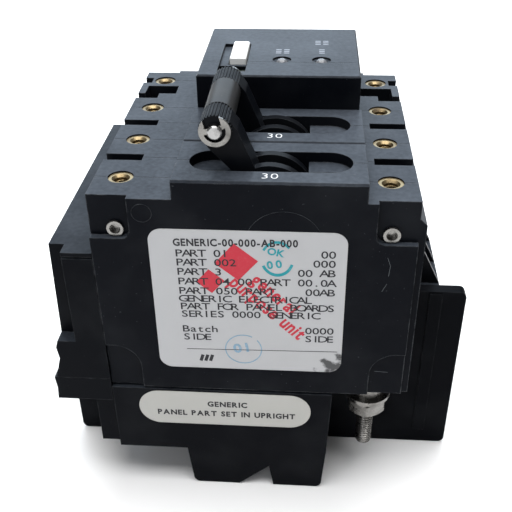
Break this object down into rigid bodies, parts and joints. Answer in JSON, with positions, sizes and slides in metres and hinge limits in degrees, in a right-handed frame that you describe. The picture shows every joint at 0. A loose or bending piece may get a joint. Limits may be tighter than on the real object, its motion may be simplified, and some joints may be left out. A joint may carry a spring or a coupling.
{
  "type": "ground fault circuit breaker",
  "caption": "Panel mounted ground fault circuit breaker with tied toggle handles, raised test module, side housings, barrier plate and stud terminals.",
  "frame": {"origin": "centre of the pattern of threaded inserts, in the plane of the mounting face", "axes": "+Z out of the panel towards the operator, +X from the load side to the line side, +Y from pole 1 towards the ground fault module"},
  "size_m": [0.0998, 0.0744, 0.0997],
  "materials": {
    "case_black": "fine matte moulded",
    "cover_black": "fine matte moulded",
    "handle_black": "satin",
    "sleeve_grey": "worn",
    "brass": "machined",
    "nickel": "nickel plated",
    "steel": "turned",
    "copper": "bare",
    "silver": "satin",
    "magnet_steel": "zinc plated",
    "white_plastic": "satin",
    "lamp_clear": "clear",
    "board_green": "solder resist",
    "chip_black": "moulded",
    "core_blue": "coated",
    "fibre_board": "pressed fibre",
    "trip_white": "moulded",
    "label_silver": "printed film",
    "label_cream": "printed film"
  },
  "bodies": {
    "housing": {"pole_1_front_shell": "case_black", "pole_1_rear_shell": "case_black", "pole_2_front_shell": "case_black", "pole_2_rear_shell": "case_black", "module_front_shell": "case_black", "module_middle_shell": "case_black", "module_rear_cover": "case_black", "load_side_cover": "cover_black", "load_side_base": "cover_black", "lower_housing": "cover_black", "line_barrier": "cover_black", "load_barrier": "cover_black", "line_shroud": "cover_black", "mounting_inserts": "brass", "case_rivets": "nickel", "terminal_studs": "nickel", "terminal_flat_washers": "nickel", "terminal_lock_washers": "nickel", "terminal_nuts": "nickel", "handle_pivot_pins": "steel", "contact_arm_pins": "steel", "fixed_contacts": "silver", "line_straps": "copper", "delay_tubes": "brass", "trip_coils": "copper", "magnet_frames": "magnet_steel", "arc_plates": "magnet_steel", "arc_plate_holders": "fibre_board", "test_button_spring": "steel", "indicator_board": "board_green", "indicator_lamps": "lamp_clear", "sensing_board": "board_green", "sensing_board_parts": "chip_black", "current_transformer": "core_blue", "load_conductors": "copper", "load_straps": "copper", "trip_solenoid_coil": "copper", "rating_label": "label_silver", "note_label": "label_cream"},
    "handle": {"pole_1_handle": "handle_black", "pole_2_handle": "handle_black", "handle_tie_sleeve": "sleeve_grey", "handle_tie_pin": "steel", "handle_pin_clips": "nickel"},
    "pole_1_link": {"pole_1_toggle_link": "magnet_steel"},
    "pole_1_contact": {"pole_1_contact_arm": "copper", "pole_1_moving_contact": "silver"},
    "pole_1_armature": {"pole_1_armature": "magnet_steel"},
    "pole_1_core": {"pole_1_delay_core": "magnet_steel"},
    "pole_2_link": {"pole_2_toggle_link": "magnet_steel"},
    "pole_2_contact": {"pole_2_contact_arm": "copper", "pole_2_moving_contact": "silver"},
    "pole_2_armature": {"pole_2_armature": "magnet_steel"},
    "pole_2_core": {"pole_2_delay_core": "magnet_steel"},
    "trip_bar": {"trip_bar": "trip_white"},
    "test_button": {"test_button": "white_plastic"},
    "solenoid_plunger": {"trip_solenoid_plunger": "magnet_steel"}
  },
  "joints": [
    {"name": "handle_throw", "type": "hinge", "parent": "housing", "child": "handle", "pos_m": [0.0035, -0.01905, -0.004], "axis": [0, 1, 0], "range_deg": [0, 65.4]},
    {"name": "pole_1_link_turn", "type": "hinge", "parent": "handle", "child": "pole_1_link", "pos_m": [0.00771, -0.02857, -0.0013], "axis": [0, 1, 0], "range_deg": [-66.9, 0]},
    {"name": "pole_1_contact_swing", "type": "hinge", "parent": "housing", "child": "pole_1_contact", "pos_m": [-0.0045, -0.02857, -0.021], "axis": [0, 1, 0], "range_deg": [0, 18.89]},
    {"name": "pole_1_armature_pull", "type": "hinge", "parent": "housing", "child": "pole_1_armature", "pos_m": [-0.01025, -0.02857, -0.0276], "axis": [0, 1, 0], "range_deg": [-5, 0], "stiffness_Nm_per_rad": 0.003, "springref_deg": 17.19},
    {"name": "pole_1_core_rise", "type": "slide", "parent": "housing", "child": "pole_1_core", "axis": [0, 0, 1], "range_m": [0, 0.0065], "stiffness_N_per_m": 5, "springref_m": -0.001},
    {"name": "pole_2_link_turn", "type": "hinge", "parent": "handle", "child": "pole_2_link", "pos_m": [0.00771, -0.00953, -0.0013], "axis": [0, 1, 0], "range_deg": [-66.9, 0]},
    {"name": "pole_2_contact_swing", "type": "hinge", "parent": "housing", "child": "pole_2_contact", "pos_m": [-0.0045, -0.00953, -0.021], "axis": [0, 1, 0], "range_deg": [0, 18.89]},
    {"name": "pole_2_armature_pull", "type": "hinge", "parent": "housing", "child": "pole_2_armature", "pos_m": [-0.01025, -0.00953, -0.0276], "axis": [0, 1, 0], "range_deg": [-5, 0], "stiffness_Nm_per_rad": 0.003, "springref_deg": 17.19},
    {"name": "pole_2_core_rise", "type": "slide", "parent": "housing", "child": "pole_2_core", "axis": [0, 0, 1], "range_m": [0, 0.0065], "stiffness_N_per_m": 5, "springref_m": -0.001},
    {"name": "trip_bar_turn", "type": "hinge", "parent": "housing", "child": "trip_bar", "pos_m": [-0.0155, -0.014, -0.017], "axis": [0, 1, 0], "range_deg": [0, 12], "stiffness_Nm_per_rad": 0.0003, "springref_deg": -28.65},
    {"name": "test_button_press", "type": "slide", "parent": "housing", "child": "test_button", "axis": [0, 0, -1], "range_m": [0, 0.0009], "stiffness_N_per_m": 300, "springref_m": -0.002, "deforming": ["test_button_spring"]},
    {"name": "solenoid_plunger_push", "type": "slide", "parent": "housing", "child": "solenoid_plunger", "axis": [-1, 0, 0], "range_m": [0, 0.0009], "stiffness_N_per_m": 80, "springref_m": -0.002}
  ],
  "couplings": [
    {"joint": "pole_1_link_turn", "follows": "handle_throw", "ratio": -1},
    {"joint": "pole_1_contact_swing", "follows": "handle_throw", "ratio": 0.27959},
    {"joint": "pole_2_link_turn", "follows": "handle_throw", "ratio": -1},
    {"joint": "pole_2_contact_swing", "follows": "handle_throw", "ratio": 0.27959}
  ]
}
